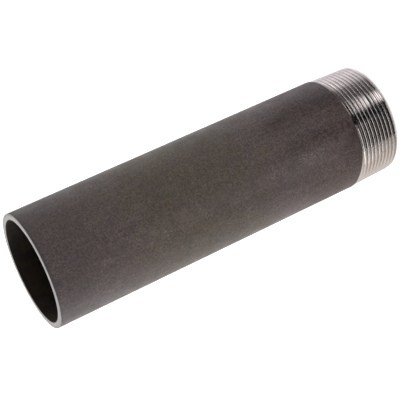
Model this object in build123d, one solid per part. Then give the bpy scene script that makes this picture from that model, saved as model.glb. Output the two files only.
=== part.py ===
from build123d import *
from math import atan, cos, degrees, radians, tan
import os

# Weld nipple: a length of steel tube with a tapered pipe thread on one end and a
# square-cut end for welding on the other. It is one piece. Sizes are in millimetres.
# The origin is on the axis, in the end face of the thread. +Z runs to the weld end.

# Tube
tube_outer_diameter = 60.3
tube_wall = 3.6
overall_length = 200.0

# Weld end: cut square, with its burrs taken off
weld_end_outer_chamfer = 0.4
weld_end_bore_chamfer = 0.3

# Machined end: a cone turned from the end face up to a shoulder on the tube
machined_length = 24.8
taper_on_diameter = 1 / 16
lead_chamfer_angle = 45.0
lead_chamfer_below_root = 0.1
thread_end_bore_chamfer = 0.5

# Right-hand pipe thread. Its full form is sized at the gauge plane, where its crests
# are this much smaller in diameter than the tube.
threads_per_inch = 11
flank_angle = 55.0
thread_depth = 1.479
root_flat = 0.385
gauge_plane_height = 15.9
gauge_diameter_below_tube = 0.686
crest_truncation = 0.2
thread_start_angle = -109.0

# Run-out: the last part of the groove, where it rises to nothing under the shoulder
runout_turns = 0.75
runout_to_shoulder = 0.4

# Spare metal and spare reach, so that each cut passes right through what it cuts
stub_length = 4.0
groove_lead_in = 2.5
overreach = 0.1

tube_radius = tube_outer_diameter / 2
bore_radius = tube_radius - tube_wall
pitch = 25.4 / threads_per_inch
taper_slope = taper_on_diameter / 2
gauge_crest_radius = (tube_outer_diameter - gauge_diameter_below_tube) / 2


def full_form_radius(height):
    """Radius of the thread's full-form crests at a height above the end face."""
    return gauge_crest_radius + (height - gauge_plane_height) * taper_slope


def crest_radius(height):
    return full_form_radius(height) - crest_truncation


def root_radius(height):
    return full_form_radius(height) - thread_depth


def turned_solid(*points):
    """A solid of revolution about the axis, from (radius, height) points."""
    return revolve(make_face(Plane.XZ * Polyline(*points, close=True)), Axis.Z)


def turned_blank():
    """The tube with its cone and shoulder, still with a stub below the end face."""
    return turned_solid(
        (bore_radius, -stub_length),
        (crest_radius(-stub_length), -stub_length),
        (crest_radius(machined_length), machined_length),
        (tube_radius, machined_length),
        (tube_radius, overall_length - weld_end_outer_chamfer),
        (tube_radius - weld_end_outer_chamfer, overall_length),
        (bore_radius + weld_end_bore_chamfer, overall_length),
        (bore_radius, overall_length - weld_end_bore_chamfer),
    )


def end_facing_cut():
    """What is turned away at the thread's end: the stub and the two chamfers."""
    outside = tube_radius + overreach
    inside = bore_radius - overreach
    face_radius = root_radius(0) - lead_chamfer_below_root
    chamfer_height = (outside - face_radius) / tan(radians(lead_chamfer_angle))
    return turned_solid(
        (inside, -stub_length - overreach),
        (outside, -stub_length - overreach),
        (outside, chamfer_height),
        (face_radius, 0),
        (bore_radius + thread_end_bore_chamfer, 0),
        (inside, thread_end_bore_chamfer + overreach),
    )


def conical_helix(start_height, stop_height, start_radius, slope):
    """A right-hand helix on a cone whose radius grows by slope per unit of height."""
    cone_angle = degrees(atan(slope))
    return Helix(
        pitch=pitch / cos(radians(cone_angle)),
        height=stop_height - start_height,
        radius=start_radius,
        center=(0, 0, start_height),
        cone_angle=cone_angle,
    )


def groove_section(helix, position):
    """The groove between two ridges, with straight flanks and a flat root, square to
    a helix. Its x runs along +Z and its y points outward."""
    top = thread_depth + overreach
    root_half = root_flat / 2
    top_half = root_half + top * tan(radians(flank_angle / 2))
    outline = Polyline(
        (-root_half, 0),
        (root_half, 0),
        (top_half, top),
        (-top_half, top),
        close=True,
    )
    plane = Plane(origin=helix @ position, x_dir=(0, 0, 1), z_dir=helix % position)
    return plane * make_face(outline)


def thread_groove():
    """The groove on its taper, and its run-out, which leaves the metal."""
    bottom = -groove_lead_in
    exit_height = machined_length - runout_to_shoulder
    rise_height = exit_height - runout_turns * pitch
    main_helix = conical_helix(bottom, rise_height, root_radius(bottom), taper_slope)
    main_groove = sweep(groove_section(main_helix, 0), main_helix, is_frenet=True)

    rise = crest_radius(exit_height) + overreach - root_radius(rise_height)
    rise_slope = rise / (exit_height - rise_height)
    rise_helix = conical_helix(
        rise_height, exit_height, root_radius(rise_height), rise_slope
    )
    rise_helix = rise_helix.rotate(Axis.Z, 360 * (rise_height - bottom) / pitch)
    runout = sweep(groove_section(main_helix, 1), rise_helix, is_frenet=True)
    return main_groove + runout


def weld_nipple():
    groove_start_angle = thread_start_angle - 360 * groove_lead_in / pitch
    groove = thread_groove().rotate(Axis.Z, groove_start_angle)
    return turned_blank() - groove - end_facing_cut()


os.makedirs("parts", exist_ok=True)
export_step(weld_nipple(), "parts/weld_nipple.step")
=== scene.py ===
from math import cos, pi, radians, sin, tan
from typing import NamedTuple

import bmesh
import bpy
import numpy as np
from mathutils import Matrix, Vector


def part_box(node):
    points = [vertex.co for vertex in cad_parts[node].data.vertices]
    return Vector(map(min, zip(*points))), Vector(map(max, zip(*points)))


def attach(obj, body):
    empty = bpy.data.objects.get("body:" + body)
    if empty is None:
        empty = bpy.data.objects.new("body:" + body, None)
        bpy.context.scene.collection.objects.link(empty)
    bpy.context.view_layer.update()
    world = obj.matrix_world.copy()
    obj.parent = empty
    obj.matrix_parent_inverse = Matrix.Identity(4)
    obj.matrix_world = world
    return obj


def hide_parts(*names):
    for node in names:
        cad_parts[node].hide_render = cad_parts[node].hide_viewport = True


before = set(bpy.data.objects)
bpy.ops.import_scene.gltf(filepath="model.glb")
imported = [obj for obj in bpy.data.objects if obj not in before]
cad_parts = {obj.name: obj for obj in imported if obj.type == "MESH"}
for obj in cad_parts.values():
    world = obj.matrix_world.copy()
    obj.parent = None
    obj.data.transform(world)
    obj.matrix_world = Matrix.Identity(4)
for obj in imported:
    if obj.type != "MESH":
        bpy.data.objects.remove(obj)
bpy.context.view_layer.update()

# The weld nipple in metres, placed as in the part's source: the origin is on the axis,
# in the end face of the thread, and +Z runs to the weld end.
MM = 0.001
low_corner, high_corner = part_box("weld_nipple")
TUBE_RADIUS = min(high_corner.x, high_corner.y, -low_corner.x, -low_corner.y)
LENGTH = high_corner.z
WALL = 3.58 * MM
BORE_RADIUS = TUBE_RADIUS - WALL

# Tapered pipe thread, 11 to the inch, with rounded roots and crests
PITCH = 25.4 / 11 * MM
TAPER_SLOPE = 1 / 32
GAUGE_HEIGHT = 15.9 * MM
GAUGE_CREST_RADIUS = 29.807 * MM
THREAD_DEPTH = 1.479 * MM
CREST_TRUNCATION = 0.2 * MM
CREST_HEIGHT = THREAD_DEPTH - CREST_TRUNCATION
FLANK_ANGLE = 55.0
FLANK_SLOPE = radians(90 - FLANK_ANGLE / 2)
ROOT_ROUND = 0.317 * MM
CREST_ROUND = 0.33 * MM
THREAD_START_ANGLE = radians(-109.0)
LEAD_FACE_RADIUS = 27.73 * MM
LEAD_CHAMFER_ANGLE = radians(45.0)

# The groove grows shallow over its last turns and leaves the metal at the end angle. It is
# lifted by these heights at these numbers of turns before its end.
END_ANGLE = radians(-116.0)
END_TURNS = 11
RUNOUT_TURNS = (-1.0, 0.0, 0.12, 0.9, 1.35)
RUNOUT_LIFT = (1.6 * MM, 1.5 * MM, 0.75 * MM, 0.6 * MM, 0.0)

# The turned surface ends a little above the last groove, on the same helix, and drops by
# one turn over a short stretch. The scale starts partway up the shoulder.
SHOULDER_OFFSET = 0.56 * MM
SHOULDER_RISE = 3.0
SHOULDER_ROWS = (0.06 * MM, 0.12 * MM, 0.2 * MM)
SHOULDER_DROP_TURNS = 0.12
SCALE_START = 0.13 * MM

# Edges broken at the two ends
WELD_END_BEVEL = 0.15 * MM
WELD_END_BORE_BEVEL = 0.5 * MM
THREAD_END_BORE_BEVEL = 0.5 * MM

# Mesh: segments round the axis, the top of the threaded skin, and the rows above it
SEGMENTS = 288
SKIN_TOP = 28.0 * MM
ROW_STEP = 10.0 * MM
MERGE_DISTANCE = 0.0002 * MM
SHARP_ANGLE = radians(40)

# Material slots of the mesh
SCALE, THREAD, CUT_FACE, BORE = range(4)


def full_form_radius(z):
    return GAUGE_CREST_RADIUS + (z - GAUGE_HEIGHT) * TAPER_SLOPE


def groove_form():
    """Half of the groove's rounded section: distances from its centre, and heights."""
    root = [
        (ROOT_ROUND * sin(a), ROOT_ROUND * (1 - cos(a)))
        for a in (0, 0.5 * FLANK_SLOPE, FLANK_SLOPE)
    ]
    foot_x, foot_y = root[-1]
    crest_drop = CREST_ROUND * (1 - cos(FLANK_SLOPE))
    head_x = foot_x + (CREST_HEIGHT - crest_drop - foot_y) / tan(FLANK_SLOPE)
    middle = ((foot_x + head_x) / 2, (foot_y + CREST_HEIGHT - crest_drop) / 2)
    crest_x = head_x + CREST_ROUND * sin(FLANK_SLOPE)
    crest = [
        (crest_x - CREST_ROUND * sin(a), CREST_HEIGHT - CREST_ROUND * (1 - cos(a)))
        for a in (FLANK_SLOPE, 0.66 * FLANK_SLOPE, 0.33 * FLANK_SLOPE, 0)
    ]
    return root + [middle] + crest


FORM_X, FORM_Y = np.array(groove_form()).T


def groove_start(angle):
    """Height of the groove's first centre above the end face, at an angle."""
    return (angle - THREAD_START_ANGLE) / (2 * pi) * PITCH


GROOVE_END = groove_start(END_ANGLE) + END_TURNS * PITCH


def turned_end(angle):
    """Height at which the turned surface gives way to the tube, at an angle."""
    turns_back = ((END_ANGLE - angle) % (2 * pi)) / (2 * pi)
    dropped = 1 - min(turns_back / SHOULDER_DROP_TURNS, 1)
    return GROOVE_END - PITCH * (turns_back + dropped) + SHOULDER_OFFSET


def skin_radius(z, angle):
    """Radius of the threaded end and its shoulder, at heights and an angle."""
    start = groove_start(angle)
    centre = start + np.round((z - start) / PITCH) * PITCH
    turns_back = (GROOVE_END - centre) / PITCH
    form = np.interp(np.abs(z - centre), FORM_X, FORM_Y)
    form = form + np.interp(turns_back, RUNOUT_TURNS, RUNOUT_LIFT)
    radius = full_form_radius(z) - THREAD_DEPTH + np.minimum(form, CREST_HEIGHT)
    lead = LEAD_FACE_RADIUS + np.maximum(z, 0) * tan(LEAD_CHAMFER_ANGLE)
    radius = np.minimum(radius, lead)
    above = z - turned_end(angle)
    risen = np.minimum(TUBE_RADIUS, radius + SHOULDER_RISE * above)
    return np.where(above > 0, risen, radius)


def skin_rows():
    """Heights of the mesh rows from the helix of the groove's centre: those of the
    groove's section and those of the shoulder, in each turn."""
    turn = sorted([*-FORM_X[1:], *FORM_X])
    turn += [SHOULDER_OFFSET + rise for rise in SHOULDER_ROWS]
    turns = range(-2, int(SKIN_TOP / PITCH) + 3)
    return np.array(sorted(x + n * PITCH for n in turns for x in turn)), len(turn)


def threaded_skin(verts, faces):
    """Adds the threaded end, whose rows climb with the helix. Returns its two rims."""
    rows, rows_per_turn = skin_rows()
    last = len(rows) - 1
    for i in range(SEGMENTS):
        angle = 2 * pi * i / SEGMENTS
        heights = np.clip(rows + groove_start(angle), 0, SKIN_TOP)
        radii = skin_radius(heights, angle)
        verts += [(r * cos(angle), r * sin(angle), z) for r, z in zip(radii, heights)]
    for i in range(SEGMENTS):
        edge = turned_end(2 * pi * (i + 0.5) / SEGMENTS) + SCALE_START
        for j in range(last):
            here = i * len(rows) + j
            if i < SEGMENTS - 1:
                there, there_next = here + len(rows), here + len(rows) + 1
            else:
                there = min(j + rows_per_turn, last)
                there_next = min(j + 1 + rows_per_turn, last)
            height = (verts[here][2] + verts[here + 1][2]) / 2
            material = THREAD if height < edge else SCALE
            faces.append(((here, there, there_next, here + 1), material))
    bottom = [i * len(rows) for i in range(SEGMENTS)]
    return bottom, [first + last for first in bottom]


def tube_profile():
    """The rest of the section, as (radius, height, material of the strip before it)."""
    up = np.arange(SKIN_TOP + ROW_STEP, LENGTH - ROW_STEP, ROW_STEP)
    bore_edge = 0.3 * WELD_END_BORE_BEVEL
    profile = [(TUBE_RADIUS, z, SCALE) for z in up]
    profile += [
        (TUBE_RADIUS, LENGTH - 3 * WELD_END_BEVEL, SCALE),
        (TUBE_RADIUS - 0.15 * WELD_END_BEVEL, LENGTH - WELD_END_BEVEL, SCALE),
        (TUBE_RADIUS - WELD_END_BEVEL, LENGTH, CUT_FACE),
        (BORE_RADIUS + WELD_END_BORE_BEVEL, LENGTH, CUT_FACE),
        (BORE_RADIUS + bore_edge, LENGTH - bore_edge, BORE),
        (BORE_RADIUS, LENGTH - WELD_END_BORE_BEVEL, BORE),
    ]
    profile += [(BORE_RADIUS, z, BORE) for z in up[::-1]]
    profile += [
        (BORE_RADIUS, THREAD_END_BORE_BEVEL, BORE),
        (BORE_RADIUS + THREAD_END_BORE_BEVEL, 0, THREAD),
    ]
    return profile


def strip(lower, upper, material):
    """Faces between two rings of as many vertices."""
    pairs = [(i, (i + 1) % len(lower)) for i in range(len(lower))]
    return [((lower[i], lower[k], upper[k], upper[i]), material) for i, k in pairs]


def nipple_mesh():
    verts, faces = [], []
    bottom, rim = threaded_skin(verts, faces)
    for radius, height, material in tube_profile():
        ring = list(range(len(verts), len(verts) + SEGMENTS))
        for i in range(SEGMENTS):
            angle = 2 * pi * i / SEGMENTS
            verts.append((radius * cos(angle), radius * sin(angle), height))
        faces += strip(rim, ring, material)
        rim = ring
    faces += strip(rim, bottom, THREAD)

    mesh = bpy.data.meshes.new("weld_nipple_finish")
    mesh.from_pydata(verts, [], [corners for corners, _ in faces])
    mesh.polygons.foreach_set("material_index", [material for _, material in faces])
    mesh.polygons.foreach_set("use_smooth", [True] * len(faces))
    work = bmesh.new()
    work.from_mesh(mesh)
    bmesh.ops.remove_doubles(work, verts=work.verts, dist=MERGE_DISTANCE)
    bmesh.ops.recalc_face_normals(work, faces=work.faces)
    work.to_mesh(mesh)
    work.free()
    mesh.set_sharp_from_angle(angle=SHARP_ANGLE)
    return mesh


# Node helpers

# Noise stays mostly between these two values
NOISE_LOW = 0.3
NOISE_HIGH = 0.7


def add_node(tree, kind, inputs, **settings):
    """Adds a shader node. Its inputs take sockets, which are linked, or values."""
    node = tree.nodes.new("ShaderNode" + kind)
    for name, value in settings.items():
        setattr(node, name, value)
    for key, value in inputs.items():
        if isinstance(value, bpy.types.NodeSocket):
            tree.links.new(value, node.inputs[key])
        else:
            node.inputs[key].default_value = value
    return node


def calculate(tree, operation, *values):
    node = add_node(tree, "Math", dict(enumerate(values)), operation=operation)
    return node.outputs[0]


def product(tree, first, *others):
    for other in others:
        first = calculate(tree, "MULTIPLY", first, other)
    return first


def noise(tree, place, size, detail=2.0):
    """Soft noise with features of a size in metres."""
    inputs = {"Vector": place, "Scale": 1 / size, "Detail": detail}
    return add_node(tree, "TexNoise", inputs).outputs["Fac"]


def remap(tree, value, start, end, to_start=0.0, to_end=1.0):
    """Maps a stretch of values to another, smoothly, and holds it at its ends."""
    inputs = {
        "Value": value,
        "From Min": start,
        "From Max": end,
        "To Min": to_start,
        "To Max": to_end,
    }
    node = add_node(tree, "MapRange", inputs, interpolation_type="SMOOTHSTEP")
    return node.outputs[0]


def vary(tree, layer, low, high):
    """Maps a layer of noise to values from low to high."""
    return remap(tree, layer, NOISE_LOW, NOISE_HIGH, low, high)


def vary_about_one(tree, layer, depth):
    return vary(tree, layer, 1 - depth, 1 + depth)


def mix(tree, factor, first, second):
    """Mixes two colours. Colours given as values are (red, green, blue)."""
    pair = [c if isinstance(c, bpy.types.NodeSocket) else (*c, 1) for c in (first, second)]
    inputs = {0: factor, 6: pair[0], 7: pair[1]}
    return add_node(tree, "Mix", inputs, data_type="RGBA").outputs[2]


def scale(tree, colour, factor):
    inputs = {0: colour, "Scale": factor}
    return add_node(tree, "VectorMath", inputs, operation="SCALE").outputs[0]


def stretched(tree, place, factors):
    """Coordinates that run slower, and so draw longer marks, where a factor is small."""
    inputs = {0: place, 1: factors}
    return add_node(tree, "VectorMath", inputs, operation="MULTIPLY").outputs[0]


def distance(tree, first, second):
    inputs = {0: first, 1: second}
    node = add_node(tree, "VectorMath", inputs, operation="DISTANCE")
    return node.outputs["Value"]


def from_axis(tree, place):
    """Distance from the nipple's axis."""
    flat = stretched(tree, place, (1, 1, 0))
    node = add_node(tree, "VectorMath", {0: flat}, operation="LENGTH")
    return node.outputs["Value"]


def bump(tree, height, depth, under=None):
    inputs = {"Height": height, "Distance": depth, "Strength": 1.0}
    if under is not None:
        inputs["Normal"] = under
    return add_node(tree, "Bump", inputs).outputs[0]


def new_material(name):
    """A principled material: it, its tree, its shader and the place on the object."""
    material = bpy.data.materials.new(name)
    material.use_nodes = True
    tree = material.node_tree
    shader = tree.nodes["Principled BSDF"]
    place = add_node(tree, "TexCoord", {}).outputs["Object"]
    return material, tree, shader, place


def connect(tree, shader, **sockets):
    for name, socket in sockets.items():
        tree.links.new(socket, shader.inputs[name.replace("_", " ").title()])


# Mill scale. A stretch is (start, end, value at the start, value at the end), or its
# first two, with values 0 and 1. Heights are above the thread's end face, and angles are
# in radians.
SCALE_GREY = (0.059, 0.037, 0.035)
SCALE_BROWN = (0.052, 0.035, 0.021)
BROWN_RISES = (60 * MM, 110 * MM)
BROWN_FALLS = (180 * MM, 130 * MM)
BLOTCH_GAIN = 1.6
BLOTCH_OFFSET = -0.75
# The foot stretch is painted light: the scale is painted paler near the thread, where light
# bounced off the floor falls. The head stretch makes the scale darker towards the weld end.
FOOT_PAINTED_FLOOR_LIGHT = (25 * MM, 75 * MM, 1.16, 1.0)
HEAD_SHADE = (150 * MM, 195 * MM, 1.0, 0.76)

STREAK_COLOUR = (0.130, 0.100, 0.100)
STREAK_ANGLE = radians(-105)
STREAK_ACROSS = (0.24, 0.03)
STREAK_ALONG = (190 * MM, 120 * MM)
STREAK_STRENGTH = (0.35, 0.65, 0.05, 0.3)

SPECK_COLOUR = (0.20, 0.18, 0.17)
SPECK_CLUSTERS = (0.42, 0.64)
SPECKS_IN_STREAK = (0.0, 1.0, 0.45, 1.3)
SPECK_SPOTS = (0.56, 0.72)
SPECK_STRENGTH = 0.5

SCUFF_COLOUR = (0.12, 0.11, 0.10)
SCUFF_STRENGTH = (0.60, 0.74, 0.0, 0.16)

SMUDGE_COLOUR = (0.014, 0.011, 0.010)
SMUDGE_ANGLE = radians(-110)
SMUDGE_HEIGHT = 197.3 * MM
SMUDGE_STRENGTH = (3.2 * MM, 0.8 * MM, 0.0, 0.75)

RIM_COLOUR = (0.015, 0.012, 0.011)
RIM_STRENGTH = (LENGTH - 1.8 * MM, LENGTH - 0.7 * MM, 0.0, 0.7)


def brownness(tree, height, blotches, patches):
    """How brown the scale is, from 0 to 1: most amid the length, and in patches."""
    rising = remap(tree, height, *BROWN_RISES)
    falling = remap(tree, height, *BROWN_FALLS)
    blotchy = calculate(tree, "MULTIPLY_ADD", blotches, BLOTCH_GAIN, BLOTCH_OFFSET)
    brown = calculate(tree, "ADD", blotchy, product(tree, rising, falling))
    brown = calculate(tree, "ADD", brown, vary(tree, patches, -0.3, 0.3))
    return remap(tree, brown, 0.0, 1.1)


def pale_streak(tree, angle, height):
    """A pale streak along one side, soft at its edges, from 0 to 1."""
    off_streak = calculate(tree, "SUBTRACT", angle, STREAK_ANGLE)
    across = remap(tree, calculate(tree, "ABSOLUTE", off_streak), *STREAK_ACROSS)
    return product(tree, across, remap(tree, height, *STREAK_ALONG))


def pale_specks(tree, place, streak):
    """Small specks in clusters, most of them in the streak."""
    clusters = remap(tree, noise(tree, place, 13 * MM, 3), *SPECK_CLUSTERS)
    spots = remap(tree, noise(tree, place, 0.85 * MM, 0), *SPECK_SPOTS)
    near_streak = remap(tree, streak, *SPECKS_IN_STREAK)
    return product(tree, spots, clusters, near_streak, SPECK_STRENGTH)


def dark_smudge(tree, place):
    """A dark smudge beside the weld end."""
    smudge_place = (
        TUBE_RADIUS * cos(SMUDGE_ANGLE),
        TUBE_RADIUS * sin(SMUDGE_ANGLE),
        SMUDGE_HEIGHT,
    )
    return remap(tree, distance(tree, place, smudge_place), *SMUDGE_STRENGTH)


def mill_scale():
    """Dark oxide of hot rolling, brown amid the length and greyer at both ends."""
    material, tree, shader, place = new_material("mill_scale")
    axes = add_node(tree, "SeparateXYZ", {0: place})
    height = axes.outputs[2]
    angle = calculate(tree, "ARCTAN2", axes.outputs[1], axes.outputs[0])
    blotches = noise(tree, place, 22 * MM, 3)
    patches = noise(tree, place, 6 * MM, 3)
    mottle = noise(tree, place, 2.4 * MM)
    grain = noise(tree, place, 0.8 * MM)
    drawn = noise(tree, stretched(tree, place, (1, 1, 0.08)), 1.6 * MM)

    brown = brownness(tree, height, blotches, patches)
    # Random tone of the scale, times painted light near the foot and a darkening towards the
    # weld end
    tone_and_painted_light = product(
        tree,
        vary(tree, grain, 0.42, 1.48),
        vary_about_one(tree, mottle, 0.13),
        vary_about_one(tree, patches, 0.11),
        vary_about_one(tree, blotches, 0.12),
        vary_about_one(tree, drawn, 0.07),
        remap(tree, height, *FOOT_PAINTED_FLOOR_LIGHT),
        remap(tree, height, *HEAD_SHADE),
    )
    colour = scale(tree, mix(tree, brown, SCALE_GREY, SCALE_BROWN), tone_and_painted_light)

    streak = pale_streak(tree, angle, height)
    pale = product(tree, streak, remap(tree, patches, *STREAK_STRENGTH))
    colour = mix(tree, pale, colour, STREAK_COLOUR)
    colour = mix(tree, pale_specks(tree, place, streak), colour, SPECK_COLOUR)
    colour = mix(tree, remap(tree, drawn, *SCUFF_STRENGTH), colour, SCUFF_COLOUR)
    colour = mix(tree, dark_smudge(tree, place), colour, SMUDGE_COLOUR)
    colour = mix(tree, remap(tree, height, *RIM_STRENGTH), colour, RIM_COLOUR)

    surface = bump(tree, mottle, 0.03 * MM)
    surface = bump(tree, grain, 0.018 * MM, surface)
    roughness = vary(tree, patches, 0.44, 0.56)
    connect(tree, shader, base_color=colour, roughness=roughness, normal=surface)
    return material


# The bright metal of the thread and of the weld end
THREAD_STEEL = ((0.60, 0.55, 0.53), (0.62, 0.585, 0.57))
SAWN_STEEL = ((0.35, 0.325, 0.315), (0.46, 0.44, 0.43))
SAWN_METALLIC = 0.5
# Painted shade: the sawn face is painted darker towards its outer edge, standing in for the
# shading of its bevel
SAWN_PAINTED_BEVEL_SHADE = (28.4 * MM, TUBE_RADIUS, 1.0, 0.70)


def threaded_steel():
    """Freshly cut steel with fine marks of the die round the axis."""
    material, tree, shader, place = new_material("threaded_steel")
    shader.inputs["Metallic"].default_value = 1.0
    tool_marks = noise(tree, stretched(tree, place, (0.04, 0.04, 1)), 0.3 * MM)
    tint = noise(tree, place, 5 * MM, 3)
    stain = noise(tree, place, 1.1 * MM)
    colour = mix(tree, remap(tree, tint, 0.35, 0.65), *THREAD_STEEL)
    colour = scale(tree, colour, vary(tree, stain, 0.95, 1.04))
    roughness = vary(tree, stain, 0.12, 0.20)
    surface = bump(tree, tool_marks, 0.0006 * MM)
    connect(tree, shader, base_color=colour, roughness=roughness, normal=surface)
    return material


def cut_face():
    """The sawn weld end, brushed by the saw's teeth, with painted shade towards its outer
    bevel.
    """
    material, tree, shader, place = new_material("cut_face")
    shader.inputs["Metallic"].default_value = SAWN_METALLIC
    saw_marks = noise(tree, stretched(tree, place, (0.06, 1, 1)), 0.35 * MM, 3)
    tint = noise(tree, place, 4 * MM)
    colour = mix(tree, vary(tree, saw_marks, 0.0, 1.0), *SAWN_STEEL)
    colour = scale(tree, colour, vary(tree, tint, 0.9, 1.08))
    # Painted shade of the outer bevel, darker towards the outer edge
    painted_bevel_shade = remap(tree, from_axis(tree, place), *SAWN_PAINTED_BEVEL_SHADE)
    colour = scale(tree, colour, painted_bevel_shade)
    roughness = vary(tree, tint, 0.42, 0.55)
    surface = bump(tree, saw_marks, 0.01 * MM)
    connect(tree, shader, base_color=colour, roughness=roughness, normal=surface)
    return material


# The bore is painted paler towards the weld end's mouth: painted light, where light falls in
# through the mouth
BORE_BLACK = (0.005, 0.0035, 0.0025)
BORE_BROWN = (0.013, 0.008, 0.0045)
BORE_SPECULAR = 0.12
BORE_MOUTH_PAINTED_LIGHT = (LENGTH - 45 * MM, LENGTH, 1.0, 1.3)


def bore_scale():
    """Rough dark oxide inside the tube, with a little brown in it."""
    material, tree, shader, place = new_material("bore_scale")
    shader.inputs["Specular IOR Level"].default_value = BORE_SPECULAR
    patches = noise(tree, place, 7 * MM, 3)
    grain = noise(tree, place, 1.2 * MM, 3)
    colour = mix(tree, remap(tree, patches, 0.35, 0.65), BORE_BLACK, BORE_BROWN)
    colour = scale(tree, colour, vary(tree, grain, 0.8, 1.2))
    height = add_node(tree, "SeparateXYZ", {0: place}).outputs[2]
    # Painted light: paler towards the weld end's mouth
    colour = scale(tree, colour, remap(tree, height, *BORE_MOUTH_PAINTED_LIGHT))
    roughness = vary(tree, grain, 0.62, 0.78)
    surface = bump(tree, grain, 0.06 * MM)
    connect(tree, shader, base_color=colour, roughness=roughness, normal=surface)
    return material


def weld_nipple():
    mesh = nipple_mesh()
    for material in (mill_scale(), threaded_steel(), cut_face(), bore_scale()):
        mesh.materials.append(material)
    nipple = bpy.data.objects.new("weld_nipple_finish", mesh)
    bpy.context.scene.collection.objects.link(nipple)
    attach(nipple, "root")
    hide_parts("weld_nipple")


# Stage: the floor shows white to the camera, the world shows pale beyond it, and both are
# pale in reflections
FLOOR_SIZE = 12.0
FLOOR_COLOUR = (0.85, 0.85, 0.85, 1)
FLOOR_ROUGHNESS = 0.9
FLOOR_GLOW_SEEN = 0.62
FLOOR_GLOW_REFLECTED = 0.3
WORLD_LIGHT = 0.45
WORLD_SEEN = 0.8
WHITE = (1.0, 1.0, 1.0)


def reflected_rays(tree, rays):
    glossy = rays.outputs["Is Glossy Ray"]
    return calculate(tree, "MAXIMUM", glossy, rays.outputs["Is Transmission Ray"])


def floor_material():
    material = bpy.data.materials.new("white_floor")
    material.use_nodes = True
    tree = material.node_tree
    shader = tree.nodes["Principled BSDF"]
    shader.inputs["Base Color"].default_value = FLOOR_COLOUR
    shader.inputs["Roughness"].default_value = FLOOR_ROUGHNESS
    shader.inputs["Specular IOR Level"].default_value = 0.0
    rays = add_node(tree, "LightPath", {})
    seen = product(tree, rays.outputs["Is Camera Ray"], FLOOR_GLOW_SEEN)
    reflected = product(tree, reflected_rays(tree, rays), FLOOR_GLOW_REFLECTED)
    glow = add_node(tree, "Emission", {"Strength": calculate(tree, "ADD", seen, reflected)})
    both = add_node(tree, "AddShader", {0: shader.outputs[0], 1: glow.outputs[0]})
    tree.links.new(both.outputs[0], tree.nodes["Material Output"].inputs[0])
    return material


def white_floor():
    half = FLOOR_SIZE / 2
    corners = [(-half, -half, 0), (half, -half, 0), (half, half, 0), (-half, half, 0)]
    mesh = bpy.data.meshes.new("floor")
    mesh.from_pydata(corners, [], [(0, 1, 2, 3)])
    mesh.materials.append(floor_material())
    floor = bpy.data.objects.new("floor", mesh)
    bpy.context.scene.collection.objects.link(floor)


def pale_world():
    world = bpy.data.worlds.new("studio")
    world.use_nodes = True
    tree = world.node_tree
    background = tree.nodes["Background"]
    background.inputs["Color"].default_value = (*WHITE, 1)
    rays = add_node(tree, "LightPath", {})
    seen = calculate(tree, "MAXIMUM", rays.outputs["Is Camera Ray"], reflected_rays(tree, rays))
    strength = remap(tree, seen, 0.0, 1.0, WORLD_LIGHT, WORLD_SEEN)
    tree.links.new(strength, background.inputs["Strength"])
    bpy.context.scene.world = world


class Card(NamedTuple):
    """A card that only reflections show: a piece on the floor and a wall at its far end.
    Its stops are (angle, glow of the floor piece, glow of the wall)."""

    name: str
    reach: float
    wall_height: float
    tint: tuple
    stops: tuple


# Cards round the foot of the thread, on the camera's side, shape what its steel reflects.
# Each faces the thread between two angles, counted clockwise from +X as seen from above.
CARDS = (
    Card(
        name="upper_white_card",
        reach=21 * MM,
        wall_height=45 * MM,
        tint=(0.98, 0.95, 1.0),
        stops=(
            (4, 1.2, 1.2),
            (15, 1.15, 1.15),
            (20, 0.62, 0.62),
            (25, 1.2, 1.2),
            (30, 1.25, 1.25),
            (35, 0.92, 0.92),
            (40, 0.93, 0.90),
            (46, 0.66, 0.64),
            (50, 0.22, 0.20),
        ),
    ),
    Card(
        name="upper_grey_card",
        reach=21 * MM,
        wall_height=60 * MM,
        tint=(1.0, 0.93, 0.98),
        stops=((50, 0.20, 0.18), (55, 0.14, 0.16), (60, 0.08, 0.13), (65, 0.14, 0.14)),
    ),
    Card(
        name="narrow_bright_card",
        reach=24 * MM,
        wall_height=20 * MM,
        tint=(0.98, 0.96, 1.0),
        stops=(
            (65, 0.3, 0.12),
            (69, 1.8, 0.10),
            (72, 3.0, 0.02),
            (77, 3.0, 0.01),
            (79, 1.5, 0.01),
            (82, 0.2, 0.01),
        ),
    ),
    Card(
        name="middle_black_card",
        reach=21 * MM,
        wall_height=50 * MM,
        tint=WHITE,
        stops=((82, 0.01, 0.01), (93, 0.01, 0.01)),
    ),
    Card(
        name="lower_black_card",
        reach=21 * MM,
        wall_height=22 * MM,
        tint=(1.0, 0.97, 0.93),
        stops=((93, 0.01, 0.02), (110, 0.02, 0.05), (123, 0.04, 0.10)),
    ),
    Card(
        name="lower_white_card",
        reach=21 * MM,
        wall_height=45 * MM,
        tint=(1.0, 0.95, 0.90),
        stops=(
            (123.5, 0.56, 0.50),
            (130, 0.64, 0.60),
            (140, 0.86, 0.86),
            (150, 0.92, 0.92),
            (160, 0.86, 0.86),
            (176, 1.0, 1.0),
        ),
    ),
)
CARD_START_RADIUS = 30.8 * MM
CARD_LIFT = 0.6 * MM
CARD_STEP = 3.0

# The black blade lies in line with what the camera sees by way of two facing flanks. That
# line falls by this many degrees where the thread faces the camera, and by less beside it.
BLADE_ANGLES = (65, 86)
BLADE_HEIGHT = 9.0 * MM
BLADE_GLOW = 0.01
FACING_CAMERA = 90
FLANK_RAY_FALL = 49
FALL_LOST_PER_DEGREE = 0.42


def polar(radius, degrees_clockwise, height=0.0):
    angle = radians(-degrees_clockwise)
    return Vector((radius * cos(angle), radius * sin(angle), height))


def away_from(angle):
    """Direction, in degrees, in which the thread's side at an angle reflects the camera."""
    return 2 * angle - FACING_CAMERA


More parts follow.
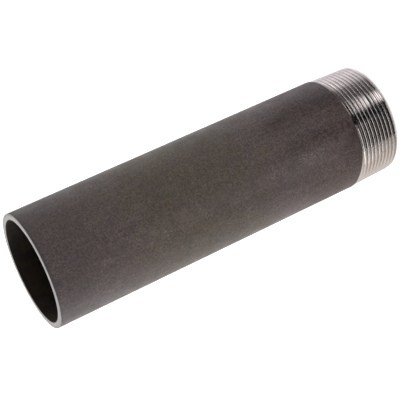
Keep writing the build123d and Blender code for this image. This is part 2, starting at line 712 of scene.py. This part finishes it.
def card_angles(first, last):
    steps = max(1, round((last - first) / CARD_STEP))
    return np.linspace(first, last, steps + 1)


def card_material(name, tint):
    material = bpy.data.materials.new(name)
    material.use_nodes = True
    tree = material.node_tree
    tree.nodes.remove(tree.nodes["Principled BSDF"])
    glow = add_node(tree, "Attribute", {}, attribute_name="glow").outputs["Fac"]
    light = add_node(tree, "Emission", {"Color": (*tint, 1), "Strength": glow})
    tree.links.new(light.outputs[0], tree.nodes["Material Output"].inputs[0])
    return material


def add_card(name, tint, verts, faces, glow):
    mesh = bpy.data.meshes.new(name)
    mesh.from_pydata([tuple(v) for v in verts], [], faces)
    mesh.attributes.new("glow", "FLOAT", "POINT").data.foreach_set("value", glow)
    mesh.materials.append(card_material(name, tint))
    card = bpy.data.objects.new(name, mesh)
    bpy.context.scene.collection.objects.link(card)
    card.visible_camera = False
    card.visible_diffuse = False
    card.visible_shadow = False
    card.visible_transmission = False


def reflection_card(card):
    """A card along the line of what the camera sees reflected in the thread's side."""
    ends, floor_stops, wall_stops = zip(*card.stops)
    angles = card_angles(ends[0], ends[-1])
    floor_glow = np.interp(angles, ends, floor_stops)
    wall_glow = np.interp(angles, ends, wall_stops)
    verts, faces, glow = [], [], []
    for angle, on_floor, on_wall in zip(angles, floor_glow, wall_glow):
        near = polar(CARD_START_RADIUS, angle, CARD_LIFT)
        far = near + polar(card.reach, away_from(angle))
        verts += [near, far, far, far + Vector((0, 0, card.wall_height))]
        glow += [on_floor, on_floor, on_wall, on_wall]
    for k in range(0, len(verts) - 4, 4):
        faces += [(k + m, k + m + 4, k + m + 5, k + m + 1) for m in (0, 2)]
    add_card(card.name, card.tint, verts, faces, glow)


def sloping_blade():
    """Hides the narrow bright card from the thread's crests and not from its flanks."""
    verts = []
    for angle in card_angles(*BLADE_ANGLES):
        fall = radians(FLANK_RAY_FALL - (FACING_CAMERA - angle) * FALL_LOST_PER_DEGREE)
        foot = polar(CARD_START_RADIUS, angle, CARD_LIFT)
        away = polar(BLADE_HEIGHT / tan(fall), away_from(angle))
        verts += [foot + away, foot + Vector((0, 0, BLADE_HEIGHT))]
    faces = [(k, k + 1, k + 3, k + 2) for k in range(0, len(verts) - 2, 2)]
    add_card("black_blade", WHITE, verts, faces, [BLADE_GLOW] * len(verts))


def softbox(name, location, target, size, radiance):
    """A square area lamp of this radiance, which faces its target."""
    lamp = bpy.data.lights.new(name, "AREA")
    lamp.size = size
    lamp.energy = radiance * pi * size * size
    box = bpy.data.objects.new(name, lamp)
    bpy.context.scene.collection.objects.link(box)
    box.location = location
    box.rotation_mode = "QUATERNION"
    facing = Vector(target) - Vector(location)
    box.rotation_quaternion = facing.to_track_quat("-Z", "Y")


def soft_light():
    softbox("overhead_softbox", (0, 0, 2.0), (0, 0, 0), size=2.5, radiance=1.0)
    softbox("lower_softbox", (-1.5, 0.3, 0.7), (0, 0, 0.08), size=2.1, radiance=2.0)
    softbox("upper_softbox", (0.55, 0.25, 0.5), (0, 0, 0.15), size=0.35, radiance=1.8)


# The camera looks along +Y and down. It is rolled, so that the nipple lies aslant.
CAMERA_PLACE = (-0.00282, -0.57768, 0.3282)
CAMERA_ELEVATION = radians(21.0468)
CAMERA_ROLL = radians(-114.815)
SENSOR_WIDTH_MM = 36
LENS_MM = 109.87
CLIP_START = 0.01


def camera():
    data = bpy.data.cameras.new("camera")
    data.sensor_width = SENSOR_WIDTH_MM
    data.lens = LENS_MM
    data.clip_start = CLIP_START
    shot = bpy.data.objects.new("camera", data)
    bpy.context.scene.collection.objects.link(shot)
    tilt = Matrix.Rotation(pi / 2 - CAMERA_ELEVATION, 4, "X")
    roll = Matrix.Rotation(CAMERA_ROLL, 4, "Z")
    shot.matrix_world = Matrix.Translation(CAMERA_PLACE) @ tilt @ roll
    bpy.context.scene.camera = shot


weld_nipple()
white_floor()
pale_world()
for card in CARDS:
    reflection_card(card)
sloping_blade()
soft_light()
camera()

bpy.context.scene.view_settings.view_transform = "Standard"
